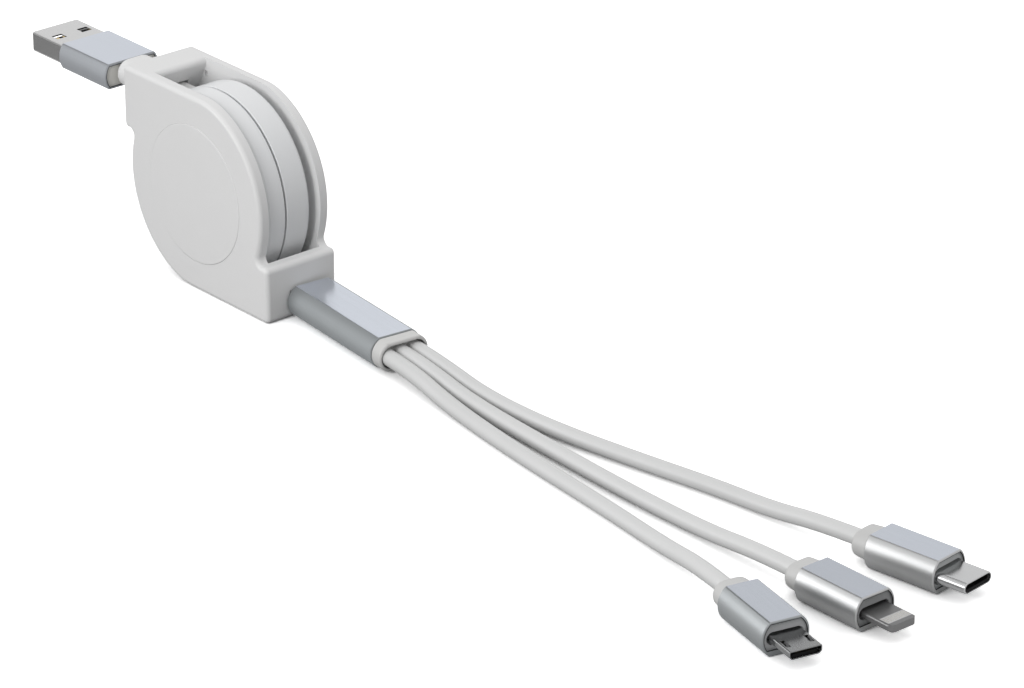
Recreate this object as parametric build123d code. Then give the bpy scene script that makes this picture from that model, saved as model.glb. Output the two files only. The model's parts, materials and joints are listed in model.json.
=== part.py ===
from build123d import *
import math
import os

# Retractable charging cable, in millimetres. X runs from the type-A plug (-X) to the
# three tails (+X), Y is the reel's axis (the front plate faces -Y), Z is up.
# The origin is on the ground, straight under the reel's axis.

# Housing frame: two plates joined by a block at two opposite corners
DISC_R = 22.1
FOOT_CUT = 0.4
FOOT_BLEND_R = 15.0
PLATE_T = 2.4
BLOCK_REACH = 1.9
FOOT_BLOCK_H = 12.4
TOP_BLOCK_H = 13.9
BLOCK_WALL_FOOT = 9.3
BLOCK_WALL_TOP = 1.1
FRAME_CORNER_R = 1.2
FRAME_CREASE_R = 1.4
FRAME_EDGE_R = 1.0
BROW_R = 1.0
RECESS_R = 15.2
RECESS_DEPTH = 0.25
LATCH_SLOT_L = 1.0
LATCH_SLOT_H = 1.4
LATCH_SLOT_DEPTH = 0.8
LATCH_SLOT_FROM_SIDE = 8.05
LATCH_SLOT_FROM_TOP = 3.65
PEG_R = 1.0
PEG_LENGTH = 2.5
PEG_FIT = 0.05
PEG_END_ROOM = 0.1
PEG_FROM_SIDE = 2.8
PEG_FROM_EDGE = 2.2

# Neck on the frame, where the ribbon goes out to the type-A plug
NECK_SIDE = 1.5
NECK_H = 6.0
NECK_LENGTH = 8.8
NECK_DROP = 0.6
NECK_EDGE_R = 1.3

# Drum casing between the plates, in two cups: the front one carries the ratchet ball and
# is close to its plate, the rear one is thinner
DRUM_INSET = 0.9
DRUM_TO_PLATE = 0.7
DRUM_WALL = 1.1
DRUM_FRONT_WALL = 1.3
DRUM_REAR_WALL = 0.7
DRUM_EDGE_R = 0.6
SEAM_TO_FRONT = 1.5
SEAM_W = 0.5
SEAM_DEPTH = 0.6
SEAM_CHAMFER = 0.1
BOSS_R = 6.0

# Ribbon, its winding and its passages
RIBBON_W = 5.0
RIBBON_T = 0.8
RIBBON_INSET = 3.1
RIBBON_START = 5.8
RIBBON_SIDE_CLEARANCE = 0.4
PASSAGE_SIDE = 0.6
PASSAGE_ABOVE = 0.5

# Reel with mainspring and ratchet
ARBOR_R = 2.0
ARBOR_SLIT = 0.5
ARBOR_FIT = 0.1
REEL_SIDE_CLEARANCE = 0.2
REEL_RIM_CLEARANCE = 0.6
FLANGE_T = 1.6
REAR_FLANGE_T = 0.9
HUB_R = 8.2
HUB_WALL = 1.0
SPRING_T = 0.22
SPRING_SIDE_CLEARANCE = 0.6
SPRING_START_R = 2.7
SPRING_STEP = 0.27
SPRING_HALF_TURNS = 15
BALL_R = 0.75
BALL_CLEARANCE = 0.1
TRACK_DEPTH = 0.9
LANE_INNER_R = 10.45
LANE_OUTER_R = 13.75
TRACK_TEETH = 8
TOOTH_GAP = 3.2
TOOTH_SLANT = 18.0
BALL_POCKET_DEPTH = 0.6

# Metal sleeves: flat top and bottom, arched sides with a softened crease
SLEEVE_CHAMFER = 0.2
SLEEVE_CREASE_R = 0.7

# Type-A plug
A_SLEEVE_SIDE = 1.1
A_SLEEVE_ARCH = 1.0
A_SLEEVE_ROOM = 0.15
A_SLEEVE_WALL = 0.45
A_SLEEVE_L = 16.6
A_FROM_NECK = 0.3
A_DROP = 1.1
A_SHELL_W = 12.0
A_SHELL_H = 4.5
A_SHELL_WALL = 0.3
A_SHELL_R = 0.5
A_EXPOSED = 10.9
A_SHELL_INSIDE = 5.0
A_WINDOW_W = 2.5
A_WINDOW_L = 2.2
A_WINDOW_Y = 3.3
A_WINDOW_BACK = 6.0
A_TONGUE_T = 1.85
A_TONGUE_SETBACK = 0.6
A_TONGUE_SIDE = 0.3
A_TONGUE_CHAMFER = 0.5
A_CONTACT_W = 1.1
A_CONTACT_BACK = 1.0
A_CONTACT_L = 7.0
A_CONTACT_T = 0.12
A_CONTACT_YS = (-3.5, -1.0, 1.0, 3.5)
A_CORE_SETBACK = 0.4
A_RIBBON_DEPTH = 6.0

# Splitter: lies a little askew on the ribbon
SPLIT_ARCH = 2.2
SPLIT_SLEEVE_WALL = 0.7
SPLIT_SLEEVE_L = 31.5
SPLIT_FROM_BLOCK = 0.78
SPLIT_Y = 1.95
SPLIT_DROP = 1.55
SPLIT_YAW = -6.0
SPLIT_NOSE = 3.2
SPLIT_NOSE_GAP = 0.25
SPLIT_NOSE_INSET = 0.2
SPLIT_NOSE_R = 0.45
SPLIT_MOUTH_RIM = 0.7
SPLIT_MOUTH_SIDE = 0.25
SPLIT_MOUTH_ABOVE = 0.8
SPLIT_MOUTH_LIP = 0.85
SPLIT_MOUTH_DEPTH = 1.9
SPLIT_REAR_DEPTH = 5.0
SPLIT_REAR_SETBACK = 0.3
SPLIT_CORE_START = 13.0
SPLIT_RIBBON_DEPTH = 21.55

# Tails, and the plugs on them: front of the sleeve on the ground, and heading
TAIL_R = 1.7
TAIL_APART = 0.05
TAIL_LEAD = 10.0
TAIL_FLOOR_ROOM = 0.05
TAIL_ARC_SHARE = 0.45
TIP_SLEEVE_ARCH = 1.7
TIP_SLEEVE_L = 16.3
TIP_SLEEVE_WALL = 0.4
TIP_SLEEVE_FLOOR = 1.2
TIP_ABOVE_C = 2.3
TIP_BEZEL_SIDE = 0.3
TIP_BEZEL_SETBACK = 0.35
TIP_BEZEL_L = 10.0
TIP_POCKET_DEPTH = 1.8
TIP_METAL_INSIDE = 3.0
BOOT_INSET_W = 0.8
BOOT_INSET_H = 0.5
BOOT_L = 4.2
BOOT_TAPER = 5.0
BOOT_R = 1.1
MICRO_AT = (197.28, -26.28, -13.0)
TAB_AT = (200.5, -7.0, 0.0)
TYPE_C_AT = (198.5, 13.95, 7.4)
MICRO_ROUTE = [(82.0, -8.0), (106.0, -11.4), (134.0, -14.1), (154.0, -16.6)]
TAB_ROUTE = [(82.0, -3.6), (106.0, -5.2), (134.0, -6.5), (155.0, -6.4)]
TYPE_C_ROUTE = [(82.0, 0.4), (101.0, 0.7), (122.0, 3.9), (142.0, 7.7), (156.0, 9.3)]

# Micro plug
MICRO_W = 6.85
MICRO_H = 1.8
MICRO_WALL = 0.22
MICRO_R = 0.35
MICRO_EXPOSED = 7.0
MICRO_BEVEL = 0.55
MICRO_POCKET_SIDE = 0.45
MICRO_POCKET_ABOVE = 0.4
MICRO_SLOT_L = 2.6
MICRO_SLOT_W = 0.8
MICRO_SLOT_FROM_SIDE = 0.975
MICRO_SLOT_BACK = 3.0
MICRO_TONGUE_SIDE = 0.825
MICRO_TONGUE_SETBACK = 0.5
MICRO_TONGUE_T = 0.62
MICRO_CONTACTS = 5
MICRO_CONTACT_W = 0.4
MICRO_CONTACT_L = 3.0
MICRO_CONTACT_T = 0.08
MICRO_CONTACT_BACK = 1.0
MICRO_CONTACT_PITCH = 0.65
MICRO_LATCH_W = 0.5
MICRO_LATCH_T = 0.2
MICRO_LATCH_END_ROOM = 0.3
MICRO_LATCH_RISE = 0.3
MICRO_HOOK_L = 1.2
MICRO_HOOK_SLOPE = 0.5

# Tab plug with contacts on both faces
TAB_W = 6.7
TAB_T = 1.5
TAB_EXPOSED = 7.5
TAB_POCKET_SIDE = 0.45
TAB_POCKET_ABOVE = 0.5
TAB_TIP_R = 1.3
TAB_EDGE_R = 0.5
TAB_PAD_SIDE = 0.4
TAB_PAD_L = 2.4
TAB_PAD_BACK = 2.3
TAB_PAD_DEPTH = 0.35
TAB_CONTACTS = 8
TAB_CONTACT_APART = 0.28
TAB_CONTACT_EDGE = 0.07
TAB_CONTACT_L = 1.9
TAB_CONTACT_T = 0.1

# Type-C plug
C_W = 8.25
C_H = 2.4
C_WALL = 0.3
C_EXPOSED = 6.6
C_POCKET_SIDE = 0.175
C_POCKET_ABOVE = 0.5
C_TIP_CHAMFER = 0.12
C_INSERT_SETBACK = 0.4
C_SLOT_SIDE = 0.775
C_SLOT_H = 0.9
C_SLOT_DEPTH = 4.6
C_CONTACTS = 12
C_CONTACT_APART = 0.24
C_CONTACT_EDGE = 0.35
C_CONTACT_L = 3.4
C_CONTACT_T = 0.08

# Sizes that follow from the ones above: the reel from its ribbon outwards along Y
HALF_H = DISC_R - FOOT_CUT
AXIS_Z = HALF_H
CHANNEL_Y = RIBBON_W / 2 + RIBBON_SIDE_CLEARANCE
REEL_Y = CHANNEL_Y + FLANGE_T
REEL_REAR_Y = CHANNEL_Y + REAR_FLANGE_T
FRONT_IN = REEL_Y + REEL_SIDE_CLEARANCE
REAR_IN = REEL_REAR_Y + REEL_SIDE_CLEARANCE
DRUM_FRONT = FRONT_IN + DRUM_FRONT_WALL
DRUM_REAR = REAR_IN + DRUM_REAR_WALL
SEAM_Y = -SEAM_TO_FRONT
PLATE_IN = DRUM_FRONT + DRUM_TO_PLATE
HALF_T = PLATE_IN + PLATE_T
SPRING_W = 2 * (CHANNEL_Y - SPRING_SIDE_CLEARANCE)

# The reel from the plates inwards, and the ribbon's two straight ends
DRUM_R = DISC_R - DRUM_INSET
DRUM_IN_R = DRUM_R - DRUM_WALL
FLANGE_R = DRUM_IN_R - REEL_RIM_CLEARANCE
RIBBON_R = FLANGE_R - RIBBON_INSET
WINDING_R = RIBBON_R + RIBBON_T / 2
RIBBON_HIGH = AXIS_Z + RIBBON_R
RIBBON_LOW = AXIS_Z - RIBBON_R
PASSAGE_W = RIBBON_W + 2 * PASSAGE_SIDE
PASSAGE_H = RIBBON_T + 2 * PASSAGE_ABOVE
BLOCK_X = DISC_R + BLOCK_REACH
PEG_X = BLOCK_X - PEG_FROM_SIDE
PEG_OFF_AXIS = HALF_H - PEG_FROM_EDGE
NECK_W = PASSAGE_W + 2 * NECK_SIDE
NECK_Z = RIBBON_HIGH - NECK_DROP
NECK_END = -BLOCK_X - NECK_LENGTH

# Sleeves around what they hold
A_SLEEVE_H = A_SHELL_H + 2 * (A_SLEEVE_ROOM + A_SLEEVE_WALL)
A_SLEEVE_W = A_SHELL_W + 2 * A_SLEEVE_SIDE
A_SLEEVE_FLAT = A_SLEEVE_W - 2 * A_SLEEVE_ARCH
A_REAR_X = NECK_END - A_FROM_NECK
A_Z = RIBBON_HIGH - A_DROP
TAIL_PITCH = 2 * TAIL_R + TAIL_APART
TAIL_REST_Z = TAIL_R + TAIL_FLOOR_ROOM
SPLIT_MOUTH_W = 2 * (TAIL_PITCH + TAIL_R + SPLIT_MOUTH_SIDE)
SPLIT_MOUTH_H = 2 * (TAIL_R + SPLIT_MOUTH_ABOVE)
SPLIT_SLEEVE_W = SPLIT_MOUTH_W + 2 * SPLIT_MOUTH_RIM
SPLIT_SLEEVE_H = SPLIT_MOUTH_H + 2 * SPLIT_MOUTH_LIP
SPLIT_SLEEVE_FLAT = SPLIT_SLEEVE_W - 2 * SPLIT_ARCH
SPLIT_X = BLOCK_X + SPLIT_FROM_BLOCK
SPLIT_Z = RIBBON_LOW - SPLIT_DROP
MICRO_POCKET_W = MICRO_W + 2 * MICRO_POCKET_SIDE
TAB_POCKET_W = TAB_W + 2 * TAB_POCKET_SIDE
C_POCKET_W = C_W + 2 * C_POCKET_SIDE
MICRO_POCKET = (MICRO_POCKET_W, MICRO_H + 2 * MICRO_POCKET_ABOVE)
TAB_POCKET = (TAB_POCKET_W, TAB_T + 2 * TAB_POCKET_ABOVE)
C_POCKET = (C_POCKET_W, C_H + 2 * C_POCKET_ABOVE)
TIP_SLEEVE_W = C_POCKET_W + 2 * (TIP_BEZEL_SIDE + TIP_SLEEVE_WALL)
TIP_SLEEVE_H = C_H + 2 * TIP_ABOVE_C
TIP_SLEEVE_FLAT = TIP_SLEEVE_W - 2 * TIP_SLEEVE_ARCH
BOOT_W = TIP_SLEEVE_W - 2 * BOOT_INSET_W
BOOT_H = TIP_SLEEVE_H - 2 * BOOT_INSET_H

# Rows of contacts and slots from the metal that they are in
MICRO_SLOT_Y = MICRO_W / 2 - MICRO_SLOT_FROM_SIDE
MICRO_TONGUE_W = MICRO_W - 2 * MICRO_TONGUE_SIDE
TAB_PAD_W = TAB_W - 2 * TAB_PAD_SIDE
TAB_CONTACT_PITCH = (TAB_PAD_W - 2 * TAB_CONTACT_EDGE) / TAB_CONTACTS
TAB_CONTACT_W = TAB_CONTACT_PITCH - TAB_CONTACT_APART
C_SLOT_W = C_W - 2 * C_SLOT_SIDE
C_CONTACT_PITCH = (C_SLOT_W - 2 * C_CONTACT_EDGE) / C_CONTACTS
C_CONTACT_W = C_CONTACT_PITCH - C_CONTACT_APART

# Sketch planes: ACROSS looks along +X with Y to the right and Z up,
# SIDE looks along +Y with X to the right and Z up from the reel's axis
ACROSS = Plane((0, 0, 0), x_dir=(0, 1, 0), z_dir=(1, 0, 0))
SIDE = Plane((0, 0, AXIS_Z), x_dir=(1, 0, 0), z_dir=(0, -1, 0))


def box(x0, x1, y0, y1, z0, z1):
    """Block between two corners."""
    middle = Pos((x0 + x1) / 2, (y0 + y1) / 2, (z0 + z1) / 2)
    return middle * Box(abs(x1 - x0), abs(y1 - y0), abs(z1 - z0))


def disc(radius, y0, y1):
    """Solid disc on the reel's axis between two Y values."""
    return Pos(0, (y0 + y1) / 2, AXIS_Z) * Rot(90, 0, 0) * Cylinder(radius, abs(y1 - y0))


def ring(outer, inner, y0, y1):
    """Ring on the reel's axis between two Y values."""
    return disc(outer, y0, y1) - disc(inner, y0, y1)


def side_slab(face, y0, y1):
    """A face drawn in X and Z (from the axis), stretched along Y between two values."""
    slab = extrude(SIDE * face, amount=y1 - y0, dir=(0, 1, 0))
    return Pos(0, y0, 0) * slab


def sleeve_face(width, flat, height, inset=0.0):
    """Section of a sleeve: flat top and bottom with arched sides."""
    reach = width / 2
    edge = flat / 2
    top = height / 2
    lines = [
        Line((-edge, top), (edge, top)),
        ThreePointArc((edge, top), (reach, 0), (edge, -top)),
        Line((edge, -top), (-edge, -top)),
        ThreePointArc((-edge, -top), (-reach, 0), (-edge, top)),
    ]
    face = make_face(lines)
    if inset:
        return offset(face, amount=-inset, kind=Kind.INTERSECTION)
    return fillet(face.vertices(), SLEEVE_CREASE_R)


def along_x(face, x0, x1):
    """A face drawn in Y and Z, stretched along X between two values."""
    return Pos(x0, 0, 0) * extrude(ACROSS * face, amount=x1 - x0, dir=(1, 0, 0))


def sleeve_fill(width, flat, height, wall, floor, x0, x1):
    """Moulded filling that touches the inside of a sleeve."""
    fill = along_x(sleeve_face(width, flat, height, wall), x0, x1)
    return fill & box(x0, x1, -width, width, floor - height / 2, height)


def sleeve(width, flat, height, wall, floor, x0, x1):
    """Hollow metal sleeve along X, with its outer end edges broken."""
    outer = along_x(sleeve_face(width, flat, height), x0, x1)
    ends = outer.faces().sort_by(Axis.X)
    outer = chamfer(ends[0].edges() + ends[-1].edges(), SLEEVE_CHAMFER)
    return outer - sleeve_fill(width, flat, height, wall, floor, x0 - 1, x1 + 1)


def save(name, shape):
    """Write one node to its own file."""
    export_step(shape, os.path.join("parts", name + ".step"))
    print(name, "volume", round(shape.volume, 2), "solids", len(shape.solids()))


def crease_radius(height):
    """Fillet between a corner's shelf and the disc, limited by what the corner's own fillet leaves."""
    drop = HALF_H - height
    shelf_end = BLOCK_X - FRAME_CORNER_R
    room = (shelf_end**2 + drop**2 - DISC_R**2) / (2 * (DISC_R + drop))
    return min(FRAME_CREASE_R, 0.95 * room)


def frame_outline():
    """Plate outline: a disc cut flat at foot and top, with one squared corner at each."""
    face = Circle(DISC_R) & Rectangle(4 * DISC_R, 2 * HALF_H)
    for turn, height in ((0, FOOT_BLOCK_H), (180, TOP_BLOCK_H)):
        corner = Pos(BLOCK_X / 2, height / 2 - HALF_H) * Rectangle(BLOCK_X, height)
        face += Rot(0, 0, turn) * corner
    tips = [v for v in face.vertices() if abs(abs(v.X) - BLOCK_X) < 0.01]
    face = fillet(tips, FRAME_CORNER_R)
    for at, height in ((FOOT_BLOCK_H - HALF_H, FOOT_BLOCK_H), (HALF_H - TOP_BLOCK_H, TOP_BLOCK_H)):
        crease = [v for v in face.vertices() if abs(v.Y - at) < 0.01 and abs(v.X) < DISC_R]
        face = fillet(crease, crease_radius(height))
    kinks = [v for v in face.vertices() if abs(abs(v.Y) - HALF_H) < 0.01 and abs(v.X) < DISC_R / 2]
    return fillet(kinks, FOOT_BLEND_R)


def block_outline(outline):
    """The two corner areas that bridge the plates, with slanted inner walls and rounded brows."""
    foot = BLOCK_X - BLOCK_WALL_FOOT
    head = BLOCK_X - BLOCK_WALL_TOP
    side = BLOCK_X + 1
    low = -HALF_H - 1
    areas = []
    for turn, height in ((0, FOOT_BLOCK_H), (180, TOP_BLOCK_H)):
        high = height - HALF_H + FRAME_CREASE_R * 2
        corner = make_face(Polyline((foot, low), (side, low), (side, high), (head, high), (foot, low)))
        areas.append(Rot(0, 0, turn) * corner)
    face = outline & (areas[0] + areas[1])
    brows = [v for v in face.vertices() if abs(abs(v.Y) - HALF_H) < 0.01 and abs(v.X) < foot + BROW_R]
    return fillet(brows, BROW_R)


def passage(x0, x1, z):
    """Slot for the ribbon along X."""
    return box(x0, x1, -PASSAGE_W / 2, PASSAGE_W / 2, z - PASSAGE_H / 2, z + PASSAGE_H / 2)


def frame_half(side):
    """One half of the frame: side -1 is the front, +1 the rear."""
    outline = frame_outline()
    plate = side_slab(outline, PLATE_IN, HALF_T)
    rim = plate.faces().sort_by(Axis.Y)[-1].edges()
    plate = fillet(rim, FRAME_EDGE_R)
    plate -= disc(RECESS_R, HALF_T - RECESS_DEPTH, HALF_T + 1)
    blocks = side_slab(block_outline(outline), 0, PLATE_IN)
    neck_face = Pos(0, NECK_Z) * SlotOverall(NECK_W, NECK_H)
    neck = along_x(neck_face, NECK_END, -BLOCK_X + BLOCK_WALL_TOP)
    neck = fillet(neck.faces().sort_by(Axis.X)[0].edges(), NECK_EDGE_R)
    neck &= box(NECK_END, 0, 0, NECK_W, 0, 2 * DISC_R)
    half = plate + blocks + neck
    half -= passage(NECK_END - 1, 0, RIBBON_HIGH)
    half -= passage(0, BLOCK_X + 1, RIBBON_LOW)
    if side > 0:
        x = -BLOCK_X + LATCH_SLOT_FROM_SIDE
        z = 2 * HALF_H - LATCH_SLOT_FROM_TOP
        half -= Pos(x, PLATE_IN, z) * Box(LATCH_SLOT_L, 2 * LATCH_SLOT_DEPTH, LATCH_SLOT_H)
    else:
        half = mirror(half, about=Plane.XZ)
    for sign in (-1, 1):
        at = Pos(sign * PEG_X, 0, AXIS_Z - sign * PEG_OFF_AXIS) * Rot(90, 0, 0)
        if side < 0:
            half += at * Cylinder(PEG_R, 2 * PEG_LENGTH)
        else:
            half -= at * Cylinder(PEG_R + PEG_FIT, 2 * (PEG_LENGTH + PEG_END_ROOM))
    return half


def ball_slot(radius, y0, y1):
    """Radial slot that keeps the ball on one line through the axis."""
    span = LANE_OUTER_R - LANE_INNER_R
    face = Pos(0, (LANE_OUTER_R + LANE_INNER_R) / 2) * Rot(0, 0, 90) * SlotCenterToCenter(span, 2 * radius)
    return side_slab(face, y0, y1)


def casing_half(side):
    """One cup of the drum casing: side -1 is the front, +1 the rear."""
    outer, inner = (-DRUM_FRONT, -FRONT_IN) if side < 0 else (DRUM_REAR, REAR_IN)
    rim = SEAM_Y + side * SEAM_W / 2
    cup = disc(DRUM_R, rim, outer)
    cup = fillet(cup.faces().sort_by(Axis.Y)[0 if side < 0 else -1].edges(), DRUM_EDGE_R)
    cup = chamfer(cup.faces().sort_by(Axis.Y)[-1 if side < 0 else 0].edges(), SEAM_CHAMFER)
    cup += disc(DRUM_R - SEAM_DEPTH, SEAM_Y, rim)
    cup -= disc(DRUM_IN_R, SEAM_Y - side, inner)
    cup += disc(BOSS_R, inner, side * PLATE_IN)
    cup -= passage(-DRUM_R, -RIBBON_START, RIBBON_HIGH)
    cup -= passage(RIBBON_START, DRUM_R, RIBBON_LOW)
    if side > 0:
        return cup
    return cup - ball_slot(BALL_R + BALL_CLEARANCE, inner - BALL_POCKET_DEPTH, 0)


def arbor():
    """Fixed post that carries the reel and holds the inner end of the spring."""
    post = disc(ARBOR_R, -FRONT_IN, REAR_IN)
    slit = box(-ARBOR_R, 0, -SPRING_W / 2, SPRING_W / 2, AXIS_Z - ARBOR_SLIT / 2, AXIS_Z + ARBOR_SLIT / 2)
    return post - slit


def reel_hub():
    """Rear flange with the hub ring that the ribbon is wound on."""
    flange = ring(FLANGE_R, ARBOR_R + ARBOR_FIT, CHANNEL_Y, REEL_REAR_Y)
    hub = ring(HUB_R, HUB_R - HUB_WALL, -CHANNEL_Y, CHANNEL_Y)
    return flange + hub


def reel_flange():
    """Front flange with the ratchet's two lanes and the slanted teeth between them."""
    lane_half = BALL_R + BALL_CLEARANCE
    flange = ring(FLANGE_R, ARBOR_R + ARBOR_FIT, -REEL_Y, -CHANNEL_Y)
    floor = -REEL_Y + TRACK_DEPTH
    track = ring(LANE_OUTER_R + lane_half, LANE_INNER_R - lane_half, -REEL_Y - 1, floor)
    teeth = Circle(LANE_OUTER_R - lane_half) - Circle(LANE_INNER_R + lane_half)
    middle = (LANE_INNER_R + LANE_OUTER_R) / 2
    for step in range(TRACK_TEETH):
        gap = Pos(0, middle) * Rot(0, 0, TOOTH_SLANT) * Rectangle(TOOTH_GAP, LANE_OUTER_R - LANE_INNER_R)
        teeth -= Rot(0, 0, step * 360 / TRACK_TEETH) * gap
    return flange - track + side_slab(teeth, -REEL_Y, floor)


def mainspring():
    """Flat spiral made of half circles, each a little larger than the one before."""
    sides = {}
    for grow in (-1, 1):
        arcs = []
        for turn in range(SPRING_HALF_TURNS):
            radius = SPRING_START_R + turn * SPRING_STEP + grow * SPRING_T / 2
            centre = 0 if turn % 2 == 0 else SPRING_STEP
            flip = 1 if turn % 2 == 0 else -1
            arcs.append(ThreePointArc((centre + flip * radius, 0), (centre, flip * radius), (centre - flip * radius, 0)))
        sides[grow] = arcs
    caps = [Line(sides[-1][0] @ 0, sides[1][0] @ 0), Line(sides[-1][-1] @ 1, sides[1][-1] @ 1)]
    face = make_face(sides[-1] + sides[1] + caps)
    return side_slab(face, -SPRING_W / 2, SPRING_W / 2)


def ribbon(x0, x1, z):
    """Straight end of the ribbon along X."""
    return box(x0, x1, -RIBBON_W / 2, RIBBON_W / 2, z - RIBBON_T / 2, z + RIBBON_T / 2)


def type_a_plug():
    """Type-A plug at its place: shell, tongue, contacts, core, sleeve and ribbon."""
    lift = Pos(0, 0, A_Z)
    front = A_REAR_X - A_SLEEVE_L
    tip = front - A_EXPOSED
    inner = front + A_SHELL_INSIDE
    tube = along_x(RectangleRounded(A_SHELL_W, A_SHELL_H, A_SHELL_R), tip, inner)
    hollow_w = A_SHELL_W - 2 * A_SHELL_WALL
    hollow_h = A_SHELL_H - 2 * A_SHELL_WALL
    bore = along_x(RectangleRounded(hollow_w, hollow_h, A_SHELL_R - A_SHELL_WALL), tip - 1, inner + 1)
    tube -= bore
    at = tip + A_WINDOW_BACK
    for y in (-A_WINDOW_Y, A_WINDOW_Y):
        tube -= Pos(at, y, 0) * Box(A_WINDOW_L, A_WINDOW_W, 2 * A_SHELL_H)
    floor = -hollow_h / 2
    start = tip + A_TONGUE_SETBACK
    side = hollow_w / 2 - A_TONGUE_SIDE
    top = floor + A_TONGUE_T
    tongue = box(start, inner, -side, side, floor, top)
    tongue = chamfer(tongue.faces().sort_by(Axis.X)[0].edges().sort_by(Axis.Z)[-1], A_TONGUE_CHAMFER)
    pins = []
    for y in A_CONTACT_YS:
        x = start + A_CONTACT_BACK
        pins.append(box(x, x + A_CONTACT_L, y - A_CONTACT_W / 2, y + A_CONTACT_W / 2, top, top + A_CONTACT_T))
    contacts = Compound(children=pins)
    lead = ribbon(A_REAR_X - A_RIBBON_DEPTH, -RIBBON_START, RIBBON_HIGH)
    size = (A_SLEEVE_W, A_SLEEVE_FLAT, A_SLEEVE_H, A_SLEEVE_WALL, A_SLEEVE_WALL)
    core = sleeve_fill(*size, front + A_CORE_SETBACK, A_REAR_X - A_CORE_SETBACK)
    core -= along_x(RectangleRounded(A_SHELL_W, A_SHELL_H, A_SHELL_R), tip, inner)
    save("a_shell", lift * tube)
    save("a_tongue", lift * tongue)
    save("a_contacts", lift * contacts)
    save("a_core", lift * core - lead)
    save("a_sleeve", lift * sleeve(*size, front, A_REAR_X))
    save("a_ribbon", lead)


def splitter_place():
    """Where the splitter's rear end is and how it is turned."""
    return Location((SPLIT_X, SPLIT_Y, SPLIT_Z), (0, 0, SPLIT_YAW))


def splitter():
    """Splitter sleeve with a rear collar, a nose with three outlets and the ribbon's end."""
    place = splitter_place()
    reach = SPLIT_X + SPLIT_RIBBON_DEPTH
    lead = ribbon(RIBBON_START, reach, RIBBON_LOW)
    size = (SPLIT_SLEEVE_W, SPLIT_SLEEVE_FLAT, SPLIT_SLEEVE_H, SPLIT_SLEEVE_WALL, SPLIT_SLEEVE_WALL)
    collar = sleeve_fill(*size, SPLIT_REAR_SETBACK, SPLIT_REAR_DEPTH)
    collar = place * collar - passage(0, reach, RIBBON_LOW)
    nose_face = sleeve_face(SPLIT_SLEEVE_W, SPLIT_SLEEVE_FLAT, SPLIT_SLEEVE_H, SPLIT_NOSE_INSET)
    start = SPLIT_SLEEVE_L + SPLIT_NOSE_GAP
    nose = along_x(nose_face, start, SPLIT_SLEEVE_L + SPLIT_NOSE)
    nose = fillet(nose.faces().sort_by(Axis.X)[-1].edges(), SPLIT_NOSE_R)
    nose += sleeve_fill(*size, SPLIT_CORE_START, start)
    end = SPLIT_SLEEVE_L + SPLIT_NOSE
    nose -= along_x(SlotOverall(SPLIT_MOUTH_W, SPLIT_MOUTH_H), end - SPLIT_MOUTH_DEPTH, end + 1)
    save("split_sleeve", place * sleeve(*size, 0, SPLIT_SLEEVE_L))
    save("split_collar", collar)
    save("split_nose", place * nose - lead)
    save("split_ribbon", lead)


def tip_place(at):
    """Front of a tail plug's sleeve: place on the ground and heading."""
    x, y, yaw = at
    return Location((x, y, TIP_SLEEVE_H / 2), (0, 0, yaw))


def tail_points(at, route, lane):
    """Corner points of one tail, from the splitter's nose to the plug's boot."""
    depth = SPLIT_SLEEVE_L + SPLIT_NOSE - SPLIT_MOUTH_DEPTH
    place = splitter_place()
    start = (place * Pos(depth, lane * TAIL_PITCH, 0)).position
    lead = (place * Pos(depth + TAIL_LEAD, lane * TAIL_PITCH, 0)).position
    back = TIP_SLEEVE_L + BOOT_L
    end = (tip_place(at) * Pos(-back, 0, 0)).position
    near = (tip_place(at) * Pos(-back - TAIL_LEAD, 0, 0)).position
    middle = [Vector(x, y, TAIL_REST_Z) for x, y in route]
    return [start, lead] + middle + [near, end]


def tail(name, at, route, lane):
    """One tail: a round cord along straight runs joined by wide arcs."""
    points = tail_points(at, route, lane)
    radii = []
    for before, here, after in zip(points, points[1:], points[2:]):
        run_in = here - before
        run_out = after - here
        turn = math.radians(run_in.get_angle(run_out))
        radii.append(TAIL_ARC_SHARE * min(run_in.length, run_out.length) / math.tan(turn / 2))
    path = FilletPolyline(*points, radius=radii)
    section = Plane(points[0], z_dir=points[1] - points[0]) * Circle(TAIL_R)
    cord = sweep(section, path=path)
    print(name, "radii", [round(r) for r in radii], "length", round(path.length, 1),
          "volume ratio", round(cord.volume / (math.pi * TAIL_R**2 * path.length), 4))
    print(name, "points", [tuple(round(c, 2) for c in p) for p in points])
    save(name, cord)


def tip_parts(prefix, at, metal, pocket):
    """Sleeve, boot and bezel that the three tail plugs have in common."""
    place = tip_place(at)
    size = (TIP_SLEEVE_W, TIP_SLEEVE_FLAT, TIP_SLEEVE_H, TIP_SLEEVE_WALL, TIP_SLEEVE_FLOOR)
    front = -TIP_BEZEL_SETBACK
    bezel = sleeve_fill(*size, -TIP_BEZEL_L, front)
    bezel -= along_x(SlotOverall(*pocket), front - TIP_POCKET_DEPTH, 1)
    seat = front - TIP_POCKET_DEPTH - TIP_METAL_INSIDE
    bezel -= along_x(metal, seat, 1)
    ring_face = SlotOverall(BOOT_W, BOOT_H)
    boot = extrude(Plane((-TIP_SLEEVE_L, 0, 0), x_dir=(0, 1, 0), z_dir=(-1, 0, 0)) * ring_face,
                   amount=BOOT_L, taper=BOOT_TAPER)
    boot = fillet(boot.faces().sort_by(Axis.X)[0].edges(), BOOT_R)
    boot += sleeve_fill(*size, -TIP_SLEEVE_L, -TIP_BEZEL_L)
    save(prefix + "_sleeve", place * sleeve(*size, -TIP_SLEEVE_L, 0))
    save(prefix + "_bezel", place * bezel)
    save(prefix + "_boot", place * boot)
    return seat


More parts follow.
